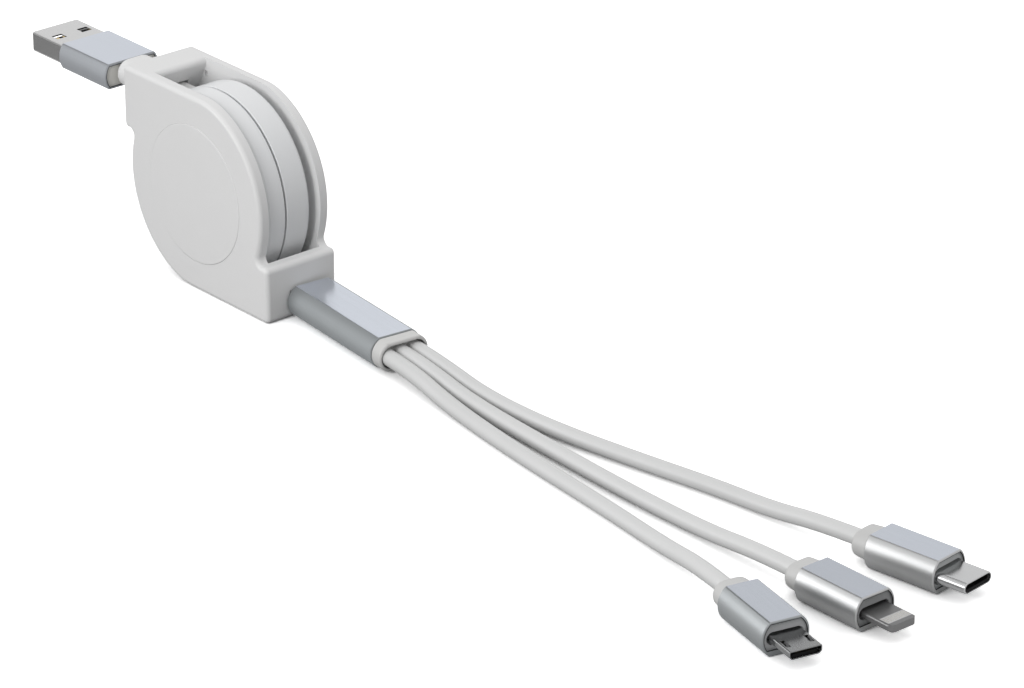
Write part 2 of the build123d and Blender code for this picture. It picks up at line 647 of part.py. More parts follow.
def micro_face(inset=0.0):
    """Section of the micro shell: a rounded bar with its lower corners cut off."""
    face = Rectangle(MICRO_W, MICRO_H)
    face = chamfer(face.vertices().sort_by(Axis.Y)[:2], MICRO_BEVEL)
    face = fillet(face.vertices(), MICRO_R)
    if inset:
        face = offset(face, amount=-inset)
    return face


def micro_plug():
    """Micro plug: bevelled shell with two latch slots, tongue, contacts and latches."""
    place = tip_place(MICRO_AT)
    seat = tip_parts("micro", MICRO_AT, micro_face(), MICRO_POCKET)
    tip = MICRO_EXPOSED
    tube = along_x(micro_face(), seat, tip)
    tube -= along_x(micro_face(MICRO_WALL), seat - 1, tip + 1)
    low = MICRO_WALL - MICRO_H / 2
    top = low + MICRO_TONGUE_T
    tongue = box(seat, tip - MICRO_TONGUE_SETBACK, -MICRO_TONGUE_W / 2, MICRO_TONGUE_W / 2, low, top)
    at = tip - MICRO_SLOT_BACK
    end = at + MICRO_SLOT_L / 2
    latches = []
    for y in (-MICRO_SLOT_Y, MICRO_SLOT_Y):
        slot = Pos(at, y, MICRO_H / 2) * Box(MICRO_SLOT_L, MICRO_SLOT_W, MICRO_H)
        tube -= slot
        side = (y - MICRO_LATCH_W / 2, y + MICRO_LATCH_W / 2)
        stop = end - MICRO_LATCH_END_ROOM
        arm = box(seat, stop, *side, top, top + MICRO_LATCH_T)
        hook = box(stop - MICRO_HOOK_L, stop, *side, top, MICRO_H / 2 + MICRO_LATCH_RISE)
        hook = chamfer(hook.faces().sort_by(Axis.Z)[-1].edges().sort_by(Axis.X)[-1], MICRO_HOOK_SLOPE)
        latches.append(arm + hook)
    pins = []
    front = tip - MICRO_CONTACT_BACK
    for step in range(MICRO_CONTACTS):
        y = (step - (MICRO_CONTACTS - 1) / 2) * MICRO_CONTACT_PITCH
        side = (y - MICRO_CONTACT_W / 2, y + MICRO_CONTACT_W / 2)
        pins.append(box(front - MICRO_CONTACT_L, front, *side, top, top + MICRO_CONTACT_T))
    save("micro_shell", place * tube)
    save("micro_tongue", place * tongue)
    save("micro_contacts", place * Compound(children=pins))
    save("micro_latches", place * Compound(children=latches))


def tab_plug():
    """Tab plug: a metal blade with an inlaid contact pad near its tip on both faces."""
    place = tip_place(TAB_AT)
    section = RectangleRounded(TAB_W, TAB_T, TAB_EDGE_R)
    seat = tip_parts("tab", TAB_AT, section, TAB_POCKET)
    tip = TAB_EXPOSED
    blade = along_x(section, seat, tip)
    plan = Pos((seat + tip) / 2, 0) * Rectangle(tip - seat, TAB_W)
    plan = fillet(plan.vertices().sort_by(Axis.X)[-2:], TAB_TIP_R)
    blade &= Pos(0, 0, -TAB_T) * extrude(plan, amount=2 * TAB_T)
    at = tip - TAB_PAD_BACK
    pads = []
    pins = []
    for sign in (-1, 1):
        face = sign * TAB_T / 2
        bed = face - sign * TAB_PAD_DEPTH
        pad = box(at - TAB_PAD_L / 2, at + TAB_PAD_L / 2, -TAB_PAD_W / 2, TAB_PAD_W / 2, bed, face)
        blade -= pad
        for step in range(TAB_CONTACTS):
            y = (step - (TAB_CONTACTS - 1) / 2) * TAB_CONTACT_PITCH
            pin = box(at - TAB_CONTACT_L / 2, at + TAB_CONTACT_L / 2, y - TAB_CONTACT_W / 2,
                      y + TAB_CONTACT_W / 2, face - sign * TAB_CONTACT_T, face)
            pad -= pin
            pins.append(pin)
        pads.append(pad)
    save("tab_blade", place * blade)
    save("tab_pads", place * Compound(children=pads))
    save("tab_contacts", place * Compound(children=pins))


def type_c_plug():
    """Type-C plug: round-ended shell, slotted insert and two rows of contacts."""
    place = tip_place(TYPE_C_AT)
    section = SlotOverall(C_W, C_H)
    seat = tip_parts("c", TYPE_C_AT, section, C_POCKET)
    tip = C_EXPOSED
    bore = SlotOverall(C_W - 2 * C_WALL, C_H - 2 * C_WALL)
    tube = along_x(section, seat, tip)
    tube = chamfer(tube.faces().sort_by(Axis.X)[-1].edges(), C_TIP_CHAMFER)
    tube -= along_x(bore, seat - 1, tip + 1)
    end = tip - C_INSERT_SETBACK
    insert = along_x(bore, seat, end)
    insert -= along_x(SlotOverall(C_SLOT_W, C_SLOT_H), end - C_SLOT_DEPTH, end + 1)
    pins = []
    for sign in (-1, 1):
        for step in range(C_CONTACTS):
            y = (step - (C_CONTACTS - 1) / 2) * C_CONTACT_PITCH
            wall = sign * C_SLOT_H / 2
            pins.append(box(end - C_SLOT_DEPTH, end - C_SLOT_DEPTH + C_CONTACT_L, y - C_CONTACT_W / 2,
                            y + C_CONTACT_W / 2, wall - sign * C_CONTACT_T, wall))
    save("c_shell", place * tube)
    save("c_insert", place * insert)
    save("c_contacts", place * Compound(children=pins))


os.makedirs("parts", exist_ok=True)
save("frame_front", frame_half(-1))
save("frame_rear", frame_half(1))
save("casing_front", casing_half(-1))
save("casing_rear", casing_half(1))
save("arbor", arbor())
save("reel_hub", reel_hub())
save("reel_flange", reel_flange())
save("ribbon_winding", ring(WINDING_R, HUB_R, -RIBBON_W / 2, RIBBON_W / 2))
save("mainspring", mainspring())
save("ratchet_ball", Pos(0, -REEL_Y, AXIS_Z + LANE_INNER_R) * Sphere(BALL_R))
type_a_plug()
splitter()
tail("tail_micro", MICRO_AT, MICRO_ROUTE, -1)
tail("tail_tab", TAB_AT, TAB_ROUTE, 0)
tail("tail_c", TYPE_C_AT, TYPE_C_ROUTE, 1)
micro_plug()
tab_plug()
type_c_plug()
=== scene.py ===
# %% [markdown]
# # A retractable charging cable
# The real object is a white reel housing with a flat ribbon inside. One end of the ribbon goes to a
# type-A plug, the other to a metal splitter with three short tails. The solids come from a CAD
# model, so this lesson only dresses them: it gives each one its finish, adds the fine trim, and
# replaces the soft pieces (tails and ribbon ends) with smooth ones.

# %% Load the CAD frame
import bmesh
import bpy
import json
import math
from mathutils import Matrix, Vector


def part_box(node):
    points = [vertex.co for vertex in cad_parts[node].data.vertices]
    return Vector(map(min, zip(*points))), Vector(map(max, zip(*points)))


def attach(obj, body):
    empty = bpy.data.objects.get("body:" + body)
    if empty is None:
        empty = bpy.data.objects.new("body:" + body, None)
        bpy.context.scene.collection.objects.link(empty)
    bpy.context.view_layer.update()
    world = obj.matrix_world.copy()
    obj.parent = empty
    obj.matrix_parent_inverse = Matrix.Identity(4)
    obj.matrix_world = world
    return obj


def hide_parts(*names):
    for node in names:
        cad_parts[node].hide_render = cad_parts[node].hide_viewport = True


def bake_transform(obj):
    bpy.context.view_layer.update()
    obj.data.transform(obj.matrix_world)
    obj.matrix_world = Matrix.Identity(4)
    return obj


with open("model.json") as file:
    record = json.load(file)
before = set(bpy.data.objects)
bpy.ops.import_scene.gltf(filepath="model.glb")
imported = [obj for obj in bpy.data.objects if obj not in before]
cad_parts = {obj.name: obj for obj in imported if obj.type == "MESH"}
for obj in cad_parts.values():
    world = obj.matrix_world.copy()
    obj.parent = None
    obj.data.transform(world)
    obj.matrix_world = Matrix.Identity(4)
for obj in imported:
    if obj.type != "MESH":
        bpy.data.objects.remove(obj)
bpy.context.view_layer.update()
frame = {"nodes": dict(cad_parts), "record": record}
nodes = frame["nodes"]
scene = bpy.context.scene

# %% [markdown]
# ## Camera
# A product photo like this is taken from far away with a long lens, so parallel edges stay
# nearly parallel. A camera could be nudged until the picture looks right. Here its place and
# focal length were solved from the type-A plug's standard size instead, so that every piece
# lands where the photo has it. It looks down a little, from the side of the tails.

# %% Camera at the photo's place
CAMERA_AZIMUTH = math.radians(49.48)
CAMERA_ELEVATION = math.radians(24.58)
CAMERA_AT = Vector((0.77118, -0.58154, 0.42581))
LENS_MM = 176.17
SENSOR_MM = 36.0
NEAR_CLIP = 0.01

back = Vector((
    math.sin(CAMERA_AZIMUTH) * math.cos(CAMERA_ELEVATION),
    -math.cos(CAMERA_AZIMUTH) * math.cos(CAMERA_ELEVATION),
    math.sin(CAMERA_ELEVATION),
))
camera_data = bpy.data.cameras.new("product_camera")
camera_data.sensor_fit = "HORIZONTAL"
camera_data.sensor_width = SENSOR_MM
camera_data.lens = LENS_MM
camera_data.clip_start = NEAR_CLIP
camera = bpy.data.objects.new("product_camera", camera_data)
camera.location = CAMERA_AT
camera.rotation_mode = "QUATERNION"
camera.rotation_quaternion = (-back).to_track_quat("-Z", "Y")
scene.collection.objects.link(camera)
scene.camera = camera
scene.view_settings.view_transform = "Standard"
print("camera", tuple(round(c, 3) for c in camera.location), "lens", LENS_MM)

# %% [markdown]
# ## Helpers for node trees
# Every finish below is a tree of shader nodes. Such a tree could be clicked together by hand
# in the Shader Editor, or written out node by node. Small helpers keep the cells short
# instead: one adds a node, one feeds a socket, one does arithmetic, and one mixes two values
# by a mask.

# %% Node helpers
NODE_SPACING = 200


def empty_tree(owner):
    """The owner's node tree with nothing in it."""
    owner.use_nodes = True
    owner.node_tree.nodes.clear()
    return owner.node_tree


def add_node(tree, kind, **settings):
    """A new node of that kind, placed to the right of the others, with its properties set."""
    node = tree.nodes.new(kind)
    node.location = (NODE_SPACING * len(tree.nodes), 0)
    for name, value in settings.items():
        setattr(node, name, value)
    return node


def feed(tree, value, socket):
    """Join an output to a socket, or set the socket when the value is a number or a colour."""
    if isinstance(value, bpy.types.NodeSocket):
        tree.links.new(value, socket)
    else:
        socket.default_value = value


print("nodes stand", NODE_SPACING, "apart")

# %% Arithmetic and mixing
# The Mix node has its own sockets for each kind of value: A, B and the result.
MIX_SOCKETS = {"FLOAT": (2, 3, 0), "RGBA": (6, 7, 2)}


def maths(tree, operation, *values):
    """One arithmetic step; each value is an output or a number."""
    node = add_node(tree, "ShaderNodeMath", operation=operation)
    for value, socket in zip(values, node.inputs):
        feed(tree, value, socket)
    return node.outputs[0]


def blend_of(tree, kind, mask, low, high, **settings):
    """Mix two numbers or two colours by a mask."""
    node = add_node(tree, "ShaderNodeMix", data_type=kind, **settings)
    first, second, result = MIX_SOCKETS[kind]
    feed(tree, mask, node.inputs["Factor"])
    feed(tree, low, node.inputs[first])
    feed(tree, high, node.inputs[second])
    return node.outputs[result]


print("mixing for", ", ".join(MIX_SOCKETS))

# %% [markdown]
# ## White sweep
# The cable lies on a white sweep. More light on the floor would make the page white, but it
# would also burn out the white plastic. So the floor has three brightnesses: for the light
# that bounces it is a pale grey card, metal sees it a little brighter, and where the camera
# looks straight at it, it is white. Only the tight contact shadows show.

# %% Painted cards
CARD_CORNERS = ((-1, -1), (1, -1), (1, 1), (-1, 1))


def matte(tree, colour):
    """End a material's tree with a plain matte surface of one colour."""
    paint = add_node(tree, "ShaderNodeBsdfDiffuse")
    feed(tree, colour, paint.inputs["Color"])
    feed(tree, paint.outputs[0], add_node(tree, "ShaderNodeOutputMaterial").inputs["Surface"])


def rectangle(name, width, height, paint):
    """A flat painted card with its middle at the origin."""
    corners = [(x * width / 2, y * height / 2, 0.0) for x, y in CARD_CORNERS]
    mesh = bpy.data.meshes.new(name)
    mesh.from_pydata(corners, [], [(0, 1, 2, 3)])
    mesh.materials.append(paint)
    return bpy.data.objects.new(name, mesh)


print("a card has", len(CARD_CORNERS), "corners")

# %% Floor
FLOOR_BOUNCE = 0.32
FLOOR_IN_METAL = 0.65
FLOOR_SEEN = 1.75
FLOOR_WIDTH = 8.0
FLOOR_DROP = 5e-5

floor_paint = bpy.data.materials.new("sweep_paint")
tree = empty_tree(floor_paint)
rays = add_node(tree, "ShaderNodeLightPath").outputs
mirrored = maths(tree, "MAXIMUM", rays["Is Glossy Ray"], rays["Is Transmission Ray"])
level = maths(tree, "MULTIPLY_ADD", mirrored, FLOOR_IN_METAL - FLOOR_BOUNCE, FLOOR_BOUNCE)
seen = maths(tree, "MULTIPLY", rays["Is Camera Ray"], FLOOR_SEEN - FLOOR_BOUNCE)
matte(tree, maths(tree, "ADD", level, seen))

floor = rectangle("sweep", FLOOR_WIDTH, FLOOR_WIDTH, floor_paint)
floor.location.z = -FLOOR_DROP
scene.collection.objects.link(floor)
print("floor", FLOOR_WIDTH, "m wide")

# %% [markdown]
# ## Sky
# A studio's white walls and ceiling give most of the light. A picture of a studio could
# stand in for them, but a few numbers are easier to steer. This sky is dim at the horizon and
# bright overhead, so tops are lighter than sides and shadows stay soft. It also falls off
# towards the tails, where the room goes on. The camera and the mirrors of the metal see it
# as plain white.

# %% Sky
SKY_HORIZON = 0.12
SKY_RISE = 1.18
SKY_LEAN = 0.40
SKY_SEEN = 1.0

world = bpy.data.worlds.new("studio_sky")
scene.world = world
tree = empty_tree(world)
rays = add_node(tree, "ShaderNodeLightPath").outputs
direction = add_node(tree, "ShaderNodeSeparateXYZ")
feed(tree, add_node(tree, "ShaderNodeTexCoord").outputs["Generated"], direction.inputs[0])
above = maths(tree, "MAXIMUM", direction.outputs["Z"], 0.0)
soft = maths(tree, "MULTIPLY_ADD", above, SKY_RISE, SKY_HORIZON)
lean = maths(tree, "MULTIPLY_ADD", direction.outputs["X"], -SKY_LEAN, 1.0)
soft = maths(tree, "MULTIPLY", soft, lean)
seen = maths(tree, "MAXIMUM", rays["Is Camera Ray"], rays["Is Glossy Ray"])
seen = maths(tree, "MAXIMUM", seen, rays["Is Transmission Ray"])
sky = add_node(tree, "ShaderNodeBackground")
feed(tree, blend_of(tree, "FLOAT", seen, soft, SKY_SEEN), sky.inputs["Strength"])
feed(tree, sky.outputs[0], add_node(tree, "ShaderNodeOutputWorld").inputs["Surface"])
print("sky from", SKY_HORIZON, "to", round(SKY_HORIZON + SKY_RISE, 2))

# %% [markdown]
# ## Soft boxes
# A soft box in front, a little to the right, is the key light of the matte plastic: it reaches
# past the front plate to the inside of the rear one. A low fill behind the cable lifts the back.
# Both are hidden from mirrors. The low soft box at the left is the other way round: only
# mirrors see it, and it draws the soft white stripe on the tail plugs. One lamp could do both
# jobs, but then the stripe and the plastic's shade could not be set apart.

# %% Lamps
CABLE_MIDDLE = (0.06, 0.0, 0.01)
# Name: watts, width, height, place, and the rays that don't see it
LAMPS = {
    "front_key": (1.36, 0.24, 0.24, (0.115, -0.50, 0.22), "visible_glossy"),
    "back_fill": (0.80, 0.40, 0.20, (0.06, 0.48, 0.14), "visible_glossy"),
    "left_box": (0.44, 0.30, 0.20, (-0.065, -0.29, 0.112), "visible_diffuse"),
}


def aim(holder, at, look_at):
    """Put an object at a place, turn its -Z side to a point and hide it from the camera."""
    holder.location = at
    holder.rotation_mode = "QUATERNION"
    holder.rotation_quaternion = (Vector(look_at) - Vector(at)).to_track_quat("-Z", "Y")
    holder.visible_camera = False
    scene.collection.objects.link(holder)
    return holder


def soft_box(name, watts, width, height, at):
    """A rectangular lamp that looks at the middle of the cable."""
    lamp = bpy.data.lights.new(name, "AREA")
    lamp.shape = "RECTANGLE"
    lamp.size, lamp.size_y = width, height
    lamp.energy = watts
    return aim(bpy.data.objects.new(name, lamp), at, CABLE_MIDDLE)


for name, (*lamp_values, unseen_by) in LAMPS.items():
    setattr(soft_box(name, *lamp_values), unseen_by, False)
print("lamps:", [lamp.name for lamp in bpy.data.lights])

# %% [markdown]
# ## Cards
# Metal only shows what is around it. Photographers stand cards, called flags, round a shiny
# piece: a dark one draws a dark line along an edge, and a pale one evens out a side. A dark
# one hangs overhead, a pale one stands at the left, and a grey one lies in front of the
# type-A plug. Only mirrors see them, so the light on the plastic stays as it is.

# %% Flags
# Name: grey level, width, height, place, and the point it faces
FLAGS = {
    "overhead_flag": (0.04, 0.43, 0.30, (-0.33, 0.02, 0.53), (0.05, 0.0, 0.0)),
    "left_flag": (0.85, 0.20, 0.20, (-0.26, -0.19, 0.12), (0.0, 0.0, 0.03)),
    "low_flag": (0.32, 0.07, 0.07, (-0.112, -0.060, 0.004), (-0.09, -0.045, 0.03)),
}
for name, (level, width, height, at, look_at) in FLAGS.items():
    felt = bpy.data.materials.new(name + "_felt")
    matte(empty_tree(felt), (level, level, level, 1.0))
    card = aim(rectangle(name, width, height, felt), at, look_at)
    card.visible_diffuse = False
    card.visible_shadow = False
print("cards:", list(FLAGS))

# %% [markdown]
# ## Grain of moulded plastic
# Real surfaces are never one flat colour. Moulded plastic keeps the fine texture of its
# mould and a little cloudiness. An image texture would need the surface laid flat, so noise
# in the object's own space is used, which fits any shape. The effect is built once as a node
# group, and every moulded finish plugs into it with its own values. A group hands out only
# values and normals; the shader stays outside.

# %% Helpers for groups
GRAIN_OUTPUTS = {"Tone": "NodeSocketFloat", "Gloss": "NodeSocketFloat", "Normal": "NodeSocketVector"}


def new_group(name, inputs, outputs):
    """A shader node group, the numbers that it is given, and the results that it hands out."""
    group = bpy.data.node_groups.new(name, "ShaderNodeTree")
    for label, default in inputs.items():
        socket = group.interface.new_socket(label, in_out="INPUT", socket_type="NodeSocketFloat")
        socket.default_value = default
    for label, kind in outputs.items():
        group.interface.new_socket(label, in_out="OUTPUT", socket_type=kind)
    given = add_node(group, "NodeGroupInput").outputs
    return group, given, add_node(group, "NodeGroupOutput").inputs


def noise(tree, vector, scale, detail):
    """Noise between 0 and 1 at a scale in cells per metre."""
    node = add_node(tree, "ShaderNodeTexNoise")
    feed(tree, vector, node.inputs["Vector"])
    feed(tree, scale, node.inputs["Scale"])
    feed(tree, detail, node.inputs["Detail"])
    return node.outputs[0]


def around(tree, value, middle, swing):
    """Stretch a 0..1 value to middle plus or minus half the swing."""
    return maths(tree, "MULTIPLY_ADD", maths(tree, "SUBTRACT", value, 0.5), swing, middle)


def bumped(tree, height, depth):
    """A normal that follows a height, with its depth in metres."""
    node = add_node(tree, "ShaderNodeBump")
    feed(tree, height, node.inputs["Height"])
    feed(tree, depth, node.inputs["Distance"])
    return node.outputs["Normal"]


print("a grain hands out", ", ".join(GRAIN_OUTPUTS))

# %% Group for moulded surfaces
GRAIN_DETAIL = 3.0
CLOUD_SCALE = 90.0
CLOUD_DETAIL = 2.0
MOULD_GLOSS_SWING = 0.22

mould_grain, given, result = new_group(
    "mould_grain", {"Grain Scale": 2600.0, "Grain Depth": 0.00002, "Cloud": 0.05}, GRAIN_OUTPUTS)
spot = add_node(mould_grain, "ShaderNodeTexCoord").outputs["Object"]
fine = noise(mould_grain, spot, given["Grain Scale"], GRAIN_DETAIL)
cloud = noise(mould_grain, spot, CLOUD_SCALE, CLOUD_DETAIL)
feed(mould_grain, around(mould_grain, cloud, 1.0, given["Cloud"]), result["Tone"])
feed(mould_grain, around(mould_grain, fine, 0.0, MOULD_GLOSS_SWING), result["Gloss"])
feed(mould_grain, bumped(mould_grain, fine, given["Grain Depth"]), result["Normal"])
print("group", mould_grain.name, [s.name for s in mould_grain.interface.items_tree])

# %% [markdown]
# ## Grain of drawn metal
# Drawn and blasted metal keeps fine lines along its length, with specks between them. Noise
# that is stretched along one axis gives such lines without a picture. The tail plugs lie at
# different angles, so a heading turns the lines to run along each sleeve.

# %% Group for drawn metal
LINE_STRETCH = (0.03, 1.0, 1.0)
SPECK_SCALE = 4200.0
SPECK_DETAIL = 2.0
DRAWN_TONE_SWING = 0.06
DRAWN_GLOSS_SWING = 0.10

drawn_grain, given, result = new_group(
    "drawn_grain", {"Heading": 0.0, "Line Scale": 2200.0, "Line Depth": 0.000012}, GRAIN_OUTPUTS)
spot = add_node(drawn_grain, "ShaderNodeTexCoord").outputs["Object"]
turned = add_node(drawn_grain, "ShaderNodeVectorRotate", rotation_type="Z_AXIS", invert=True)
feed(drawn_grain, spot, turned.inputs["Vector"])
feed(drawn_grain, given["Heading"], turned.inputs["Angle"])
stretched = add_node(drawn_grain, "ShaderNodeVectorMath", operation="MULTIPLY")
feed(drawn_grain, turned.outputs[0], stretched.inputs[0])
feed(drawn_grain, LINE_STRETCH, stretched.inputs[1])
lines = noise(drawn_grain, stretched.outputs[0], given["Line Scale"], GRAIN_DETAIL)
specks = noise(drawn_grain, spot, SPECK_SCALE, SPECK_DETAIL)
ridges = maths(drawn_grain, "ADD", lines, specks)
feed(drawn_grain, around(drawn_grain, lines, 1.0, DRAWN_TONE_SWING), result["Tone"])
feed(drawn_grain, around(drawn_grain, specks, 0.0, DRAWN_GLOSS_SWING), result["Gloss"])
feed(drawn_grain, bumped(drawn_grain, ridges, given["Line Depth"]), result["Normal"])
print("group", drawn_grain.name, [s.name for s in drawn_grain.interface.items_tree])

# %% [markdown]
# ## Faces that look up
# The sleeves are anodised. Their flat tops are fine and smooth, and they are painted lighter and
# bluer than the rounded sides, which are neutral and rougher: the tops' colour is a painted sheen of
# the ceiling. Two materials per sleeve would need its faces sorted by hand, so a mask tells the two
# apart by the direction of the surface. It uses the object's own normal, and stays in place when the
# part moves.

# %% Group for flat tops
face_up, given, result = new_group(
    "face_up", {"From": 0.93, "To": 0.995}, {"Mask": "NodeSocketFloat"})
facing = add_node(face_up, "ShaderNodeSeparateXYZ")
feed(face_up, add_node(face_up, "ShaderNodeTexCoord").outputs["Normal"], facing.inputs[0])
ramp = add_node(face_up, "ShaderNodeMapRange", interpolation_type="SMOOTHSTEP")
feed(face_up, facing.outputs["Z"], ramp.inputs["Value"])
feed(face_up, given["From"], ramp.inputs["From Min"])
feed(face_up, given["To"], ramp.inputs["From Max"])
feed(face_up, ramp.outputs["Result"], result["Mask"])
print("group", face_up.name, [s.name for s in face_up.interface.items_tree])

# %% [markdown]
# ## One recipe for all finishes
# A finish takes a colour and a roughness, and a grain group breaks both up. Where a second
# colour and roughness are given, they go on the flat tops. Values that are the same all over
# go straight onto the shader. One function makes them all, so a better recipe improves every
# surface at once.


# %% Finish maker
def finish(name, group, colour, rough, settings, top=None, **shader_values):
    """A material: a grain group drives colour, roughness and normal of one shader."""
    made = bpy.data.materials.new(name)
    tree = empty_tree(made)
    grain = add_node(tree, "ShaderNodeGroup", node_tree=group)
    for label, value in settings.items():
        grain.inputs[label].default_value = value
    colour = (*colour, 1.0)
    if top:
        # On the sleeves the top colour is a painted sheen, lighter and bluer than the sides.
        mask = add_node(tree, "ShaderNodeGroup", node_tree=face_up).outputs["Mask"]
        colour = blend_of(tree, "RGBA", mask, colour, (*top[0], 1.0))
        rough = blend_of(tree, "FLOAT", mask, rough, top[1])
    shade = blend_of(tree, "RGBA", 1.0, colour, grain.outputs["Tone"], blend_type="MULTIPLY")
    shader = add_node(tree, "ShaderNodeBsdfPrincipled")
    feed(tree, shade, shader.inputs["Base Color"])
    feed(tree, maths(tree, "ADD", grain.outputs["Gloss"], rough), shader.inputs["Roughness"])
    feed(tree, grain.outputs["Normal"], shader.inputs["Normal"])
    for label, value in shader_values.items():
        shader.inputs[label.replace("_", " ")].default_value = value
    feed(tree, shader.outputs[0], add_node(tree, "ShaderNodeOutputMaterial").inputs["Surface"])
    return made


print("finishes use", [group.name for group in bpy.data.node_groups])

# %% [markdown]
# ## White mouldings
# Housing, drum, nose and boots are moulded from white plastic. The plates have the fine matte
# texture of a spark-eroded mould, the drum is smoother and a little cooler, and the boots are
# milky because they are a soft grade. The cords have a smoother skin, since they are drawn
# through a die and not pressed in a mould. One group serves them all, with other values.


# %% White materials
def moulded(scale, depth, cloud):
    """Values for the moulded grain: cells per metre, depth in metres, and cloudiness."""
    return {"Grain Scale": scale, "Grain Depth": depth, "Cloud": cloud}


# Slot: colour, roughness and grain
WHITES = {
    "housing_white": ((0.80, 0.80, 0.80), 0.46, moulded(2600.0, 1.2e-5, 0.03)),
    "drum_white": ((0.83, 0.84, 0.85), 0.34, moulded(3200.0, 5e-6, 0.03)),
    "nose_white": ((0.63, 0.63, 0.62), 0.44, moulded(3000.0, 8e-6, 0.03)),
    "boot_milky": ((0.57, 0.57, 0.565), 0.42, moulded(3000.0, 8e-6, 0.06)),
    "tail_white": ((0.665, 0.668, 0.665), 0.40, moulded(1500.0, 1e-5, 0.04)),
    "ribbon_white": ((0.80, 0.80, 0.79), 0.44, moulded(1800.0, 1e-5, 0.04)),
    "reel_grey": ((0.62, 0.62, 0.62), 0.52, moulded(2400.0, 1.2e-5, 0.05)),
    "core_beige": ((0.78, 0.77, 0.73), 0.55, moulded(2600.0, 1.4e-5, 0.08)),
}
looks = {slot: finish(slot, mould_grain, *values) for slot, values in WHITES.items()}
print("white finishes:", len(WHITES))

# %% [markdown]
# ## Dark and grey mouldings
# The bezels in the plugs' mouths are grey, the insulators that carry the contacts are nearly black,
# and the tab's inlay is light. The same recipe serves them. A weaker gloss keeps the deep pockets
# dark, and the bezels of two plugs are painted a shade lighter than the third, to lift the shade in
# their mouths: painted light.

# %% Grey materials
GREY_SPECULAR = 0.15
# Slot or node: colour, roughness and grain
GREYS = {
    "pad_light": ((0.50, 0.50, 0.505), 0.40, moulded(3600.0, 6e-6, 0.06)),
    "bezel_grey": ((0.49, 0.50, 0.505), 0.38, moulded(3000.0, 1e-5, 0.10)),
    # micro_bezel and c_bezel are lighter copies of bezel_grey: painted light against the shade in
    # their mouths.
    "micro_bezel": ((0.72, 0.73, 0.74), 0.38, moulded(3000.0, 1e-5, 0.10)),
    "c_bezel": ((0.66, 0.68, 0.68), 0.38, moulded(3000.0, 1e-5, 0.10)),
    "insulator_dark": ((0.012, 0.012, 0.013), 0.50, moulded(3000.0, 1e-5, 0.12)),
}
for name, values in GREYS.items():
    looks[name] = finish(name, mould_grain, *values, Specular_IOR_Level=GREY_SPECULAR)
print("grey finishes:", len(GREYS))

# %% [markdown]
# ## Plug metals
# The plugs' tubes are nickel on steel, drawn smooth. The type-A tube is painted a little lighter, as
# a painted highlight, and the micro tube and its latches darker, as painted shade. The tab's blade
# is a darker sintered steel. The contacts are gold, and those on the tab are thinly plated, so they
# stay pale. All are fully metallic, so their colour is the tint of what they mirror.


# %% Metal materials
def drawn(scale, depth, heading=0.0):
    """Values for the drawn grain: lines per metre, depth in metres, and heading in degrees."""
    return {"Line Scale": scale, "Line Depth": depth, "Heading": math.radians(heading)}


# Slot or node: colour, roughness and grain
METALS = {
    "plug_nickel": ((0.67, 0.675, 0.68), 0.22, drawn(2600.0, 3e-6)),
    # a_shell: a lighter copy of plug_nickel, a painted highlight on the type-A tube.
    "a_shell": ((0.74, 0.74, 0.74), 0.16, drawn(2600.0, 3e-6)),
    # micro_shell: a darker copy of plug_nickel, painted shade on the micro tube.
    "micro_shell": ((0.33, 0.335, 0.338), 0.26, drawn(2600.0, 3e-6)),
    # micro_latches: painted dark, painted shade in the latch slots.
    "micro_latches": ((0.13, 0.13, 0.135), 0.36, drawn(2600.0, 3e-6)),
    "blade_grey": ((0.27, 0.27, 0.272), 0.42, drawn(2600.0, 4e-6)),
    "contact_gold": ((0.80, 0.62, 0.30), 0.22, drawn(3000.0, 3e-6)),
    "tab_contacts": ((0.60, 0.585, 0.55), 0.28, drawn(3000.0, 3e-6)),
    "spring_steel": ((0.55, 0.55, 0.56), 0.30, drawn(2600.0, 6e-6)),
}
for name, values in METALS.items():
    looks[name] = finish(name + "_metal", drawn_grain, *values, Metallic=1.0)
print("metal finishes:", len(METALS))

# %% [markdown]
# ## Aluminium sleeves
# Each sleeve points its own way, so its drawn lines are turned: the heading goes into the group as a
# number. Each sleeve also has its own side colour and top tone. They paint the reflections and shade
# that differ from sleeve to sleeve, as painted reflection and painted shade.

# %% Sleeve materials
SLEEVE_SIDE = (0.575, 0.58, 0.582)
# Colour of the flat tops: a painted sheen of the ceiling, lighter and bluer than the sides.
SLEEVE_TOP_SHEEN = (0.545, 0.575, 0.632)
SLEEVE_TOP_ROUGH = 0.20
SLEEVE_LINE_SCALE = 2200.0
SLEEVE_LINE_DEPTH = 3e-6
# Node: heading, colour and roughness of its sides, and tone of its top; side colours and top tones
# are painted reflection and painted shade
SLEEVES = {
    "a_sleeve": (0.0, (0.42, 0.437, 0.46), 0.64, 1.32),
    "split_sleeve": (-6.0, (0.412, 0.432, 0.443), 0.72, 1.38),
    "micro_sleeve": (-13.0, (0.42, 0.44, 0.45), 0.42, 1.09),
    "tab_sleeve": (0.0, SLEEVE_SIDE, 0.42, 1.02),
    "c_sleeve": (7.4, SLEEVE_SIDE, 0.42, 1.17),
}
for name, (heading, side, side_rough, top_sheen_tone) in SLEEVES.items():
    top = (tuple(c * top_sheen_tone for c in SLEEVE_TOP_SHEEN), SLEEVE_TOP_ROUGH)
    lines = drawn(SLEEVE_LINE_SCALE, SLEEVE_LINE_DEPTH, heading)
    looks[name] = finish(name + "_aluminium", drawn_grain, side, side_rough, lines,
                         top=top, Metallic=1.0)
print("sleeve finishes:", len(SLEEVES))

# %% [markdown]
# ## Dress the CAD nodes
# Each CAD node names its material slot in the record. The sleeves and a few small pieces of
# the plugs have a finish under their own name, and every other node takes the finish of its
# slot. The solids keep their shape; only their material changes.

